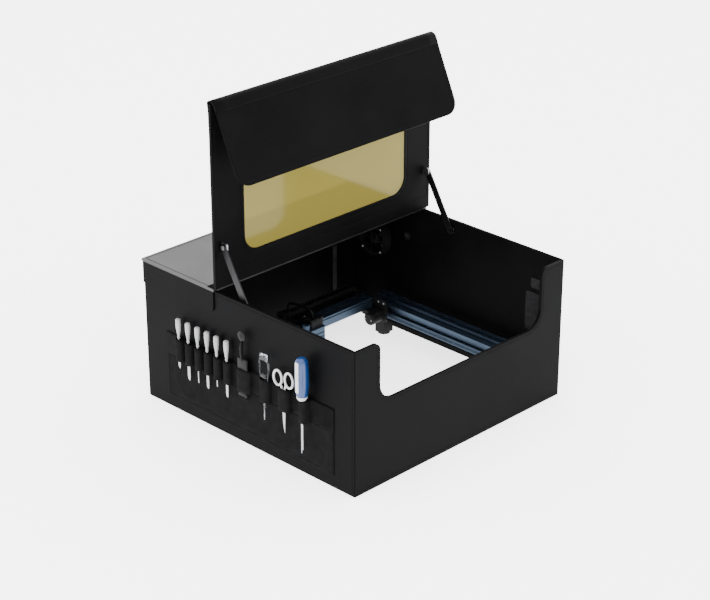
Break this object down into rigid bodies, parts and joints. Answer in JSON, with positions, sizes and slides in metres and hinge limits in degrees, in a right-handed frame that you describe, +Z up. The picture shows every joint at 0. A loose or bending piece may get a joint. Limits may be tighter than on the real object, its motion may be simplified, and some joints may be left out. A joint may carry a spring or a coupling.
{
  "type": "desktop laser cutter",
  "caption": "Fold-up black enclosure with a tinted lid window and side tool pockets around a gantry laser engraver with a moving head, exhaust fan and duct.",
  "frame": {"origin": "bottom centre of the whole object's box, on the surface it stands on", "axes": "+X to the right seen from the front, +Y towards the rear, +Z up"},
  "size_m": [0.8884, 0.7034, 0.814],
  "materials": {
    "leatherette": "black grained leatherette over board",
    "lining": "matt black lining cloth",
    "webbing": "grey hook-and-loop webbing",
    "window": "tinted see-through acrylic",
    "stay_metal": "dark brushed steel strip",
    "steel": "bright steel",
    "rail_blue": "blue-grey anodised aluminium",
    "black_metal": "satin black powder coat",
    "black_plastic": "matt black moulding",
    "rubber": "black rubber",
    "pearl_plastic": "pearly silver plastic",
    "clear_plastic": "clear plastic",
    "blue_plastic": "blue plastic",
    "white_plastic": "white plastic"
  },
  "bodies": {
    "enclosure": {"left_wall": "leatherette", "right_wall": "leatherette", "front_wall": "leatherette", "rear_wall": "leatherette", "cover_panel": "leatherette", "cover_flaps": "leatherette", "wall_strap": "webbing", "wall_pads": "webbing", "fan_housing": "black_plastic", "fan_guard": "black_metal", "exhaust_duct": "black_plastic", "cable_grommet": "rubber", "stay_catches": "steel", "tool_panel": "lining", "tool_band": "lining", "left_rail": "rail_blue", "right_rail": "rail_blue", "front_beam": "black_metal", "rear_beam": "black_metal", "machine_feet": "black_plastic", "drive_belts": "rubber", "control_box": "black_plastic"},
    "cable_flap": {"cable_flap": "leatherette"},
    "fan_rotor": {"fan_rotor": "black_plastic"},
    "lid": {"lid_panel": "leatherette", "window_pane": "window", "lid_roll": "leatherette", "stay_brackets": "steel"},
    "flap": {"front_flap": "leatherette"},
    "left_stay": {"left_stay": "stay_metal"},
    "right_stay": {"right_stay": "stay_metal"},
    "brush": {"cleaning_brush": "black_plastic"},
    "tweezers": {"tweezers": "clear_plastic"},
    "scissors": {"scissors": "white_plastic"},
    "screwdriver": {"driver_handle": "blue_plastic", "driver_shaft": "steel"},
    "power_button": {"power_button": "white_plastic"},
    "gantry": {"gantry_beam": "rail_blue", "gantry_plates": "black_metal", "cable_tray": "black_metal", "drag_chain": "black_plastic", "y_motor": "black_metal", "x_motor": "black_metal"},
    "drive_shaft": {"drive_shaft": "steel"},
    "carriage": {"carriage_plate": "black_metal"},
    "laser": {"laser_body": "rail_blue", "laser_cap": "black_plastic", "laser_cable": "black_plastic"},
    "focus_knob": {"focus_knob": "rail_blue"},
    "graver_1": {"graver_1": "pearl_plastic"},
    "graver_2": {"graver_2": "pearl_plastic"},
    "graver_3": {"graver_3": "pearl_plastic"},
    "graver_4": {"graver_4": "pearl_plastic"},
    "graver_5": {"graver_5": "pearl_plastic"},
    "graver_6": {"graver_6": "pearl_plastic"},
    "gantry_wheel_1": {"gantry_wheel_1": "black_plastic"},
    "gantry_wheel_2": {"gantry_wheel_2": "black_plastic"},
    "gantry_wheel_3": {"gantry_wheel_3": "black_plastic"},
    "gantry_wheel_4": {"gantry_wheel_4": "black_plastic"}
  },
  "joints": [
    {"name": "lid_hinge", "type": "hinge", "parent": "enclosure", "child": "lid", "pos_m": [-0.0567, 0.0953, 0.3625], "axis": [1, 0, 0], "range_deg": [0, 90]},
    {"name": "flap_hinge", "type": "hinge", "parent": "lid", "child": "flap", "pos_m": [-0.0567, 0.0873, 0.799], "axis": [1, 0, 0], "range_deg": [-72, 0]},
    {"name": "left_stay_pivot", "type": "hinge", "parent": "lid", "child": "left_stay", "pos_m": [-0.3927, 0.0783, 0.465], "axis": [1, 0, 0], "range_deg": [-146, 0]},
    {"name": "right_stay_pivot", "type": "hinge", "parent": "lid", "child": "right_stay", "pos_m": [0.2793, 0.0783, 0.465], "axis": [1, 0, 0], "range_deg": [-146, 0]},
    {"name": "cable_flap_hinge", "type": "hinge", "parent": "enclosure", "child": "cable_flap", "pos_m": [-0.0567, 0.3483, 0.093], "axis": [1, 0, 0], "range_deg": [0, 100]},
    {"name": "fan_spin", "type": "hinge", "parent": "enclosure", "child": "fan_rotor", "pos_m": [0.2733, 0.2523, 0.239], "axis": [1, 0, 0], "continuous": true},
    {"name": "power_press", "type": "slide", "parent": "enclosure", "child": "power_button", "axis": [0, 0, -1], "range_m": [0, 0.003], "stiffness_N_per_m": 400, "springref_m": -0.001},
    {"name": "graver_1_draw", "type": "slide", "parent": "enclosure", "child": "graver_1", "axis": [0, 0, 1], "range_m": [0, 0.12]},
    {"name": "graver_2_draw", "type": "slide", "parent": "enclosure", "child": "graver_2", "axis": [0, 0, 1], "range_m": [0, 0.12]},
    {"name": "graver_3_draw", "type": "slide", "parent": "enclosure", "child": "graver_3", "axis": [0, 0, 1], "range_m": [0, 0.12]},
    {"name": "graver_4_draw", "type": "slide", "parent": "enclosure", "child": "graver_4", "axis": [0, 0, 1], "range_m": [0, 0.12]},
    {"name": "graver_5_draw", "type": "slide", "parent": "enclosure", "child": "graver_5", "axis": [0, 0, 1], "range_m": [0, 0.12]},
    {"name": "graver_6_draw", "type": "slide", "parent": "enclosure", "child": "graver_6", "axis": [0, 0, 1], "range_m": [0, 0.12]},
    {"name": "brush_draw", "type": "slide", "parent": "enclosure", "child": "brush", "axis": [0, 0, 1], "range_m": [0, 0.14]},
    {"name": "tweezers_draw", "type": "slide", "parent": "enclosure", "child": "tweezers", "axis": [0, 0, 1], "range_m": [0, 0.14]},
    {"name": "scissors_draw", "type": "slide", "parent": "enclosure", "child": "scissors", "axis": [0, 0, 1], "range_m": [0, 0.14]},
    {"name": "screwdriver_draw", "type": "slide", "parent": "enclosure", "child": "screwdriver", "axis": [0, 0, 1], "range_m": [0, 0.14]},
    {"name": "gantry_slide", "type": "slide", "parent": "enclosure", "child": "gantry", "axis": [0, 1, 0], "range_m": [-0.34, 0]},
    {"name": "carriage_slide", "type": "slide", "parent": "gantry", "child": "carriage", "axis": [1, 0, 0], "range_m": [-0.18, 0.18], "deforming": ["drag_chain"]},
    {"name": "laser_lift", "type": "slide", "parent": "carriage", "child": "laser", "axis": [0, 0, 1], "range_m": [0, 0.03], "deforming": ["laser_cable"]},
    {"name": "focus_knob_turn", "type": "hinge", "parent": "laser", "child": "focus_knob", "pos_m": [-0.0707, 0.1493, 0.132], "axis": [0, 0, 1], "range_deg": [-90, 90]},
    {"name": "drive_shaft_spin", "type": "hinge", "parent": "gantry", "child": "drive_shaft", "pos_m": [-0.0567, 0.2203, 0.068], "axis": [1, 0, 0], "range_deg": [-5, 2170]},
    {"name": "gantry_wheel_1_spin", "type": "hinge", "parent": "gantry", "child": "gantry_wheel_1", "pos_m": [-0.3407, 0.1583, 0.08], "axis": [1, 0, 0], "range_deg": [-5, 2569]},
    {"name": "gantry_wheel_2_spin", "type": "hinge", "parent": "gantry", "child": "gantry_wheel_2", "pos_m": [-0.3407, 0.1913, 0.08], "axis": [1, 0, 0], "range_deg": [-5, 2569]},
    {"name": "gantry_wheel_3_spin", "type": "hinge", "parent": "gantry", "child": "gantry_wheel_3", "pos_m": [0.2273, 0.1583, 0.08], "axis": [1, 0, 0], "range_deg": [-5, 2569]},
    {"name": "gantry_wheel_4_spin", "type": "hinge", "parent": "gantry", "child": "gantry_wheel_4", "pos_m": [0.2273, 0.1913, 0.08], "axis": [1, 0, 0], "range_deg": [-5, 2569]}
  ],
  "couplings": [
    {"joint": "flap_hinge", "follows": "lid_hinge", "ratio": -0.79444},
    {"joint": "drive_shaft_spin", "follows": "gantry_slide", "rad_per_m": -111.11},
    {"joint": "gantry_wheel_1_spin", "follows": "gantry_slide", "rad_per_m": -131.58},
    {"joint": "gantry_wheel_2_spin", "follows": "gantry_slide", "rad_per_m": -131.58},
    {"joint": "gantry_wheel_3_spin", "follows": "gantry_slide", "rad_per_m": -131.58},
    {"joint": "gantry_wheel_4_spin", "follows": "gantry_slide", "rad_per_m": -131.58}
  ]
}
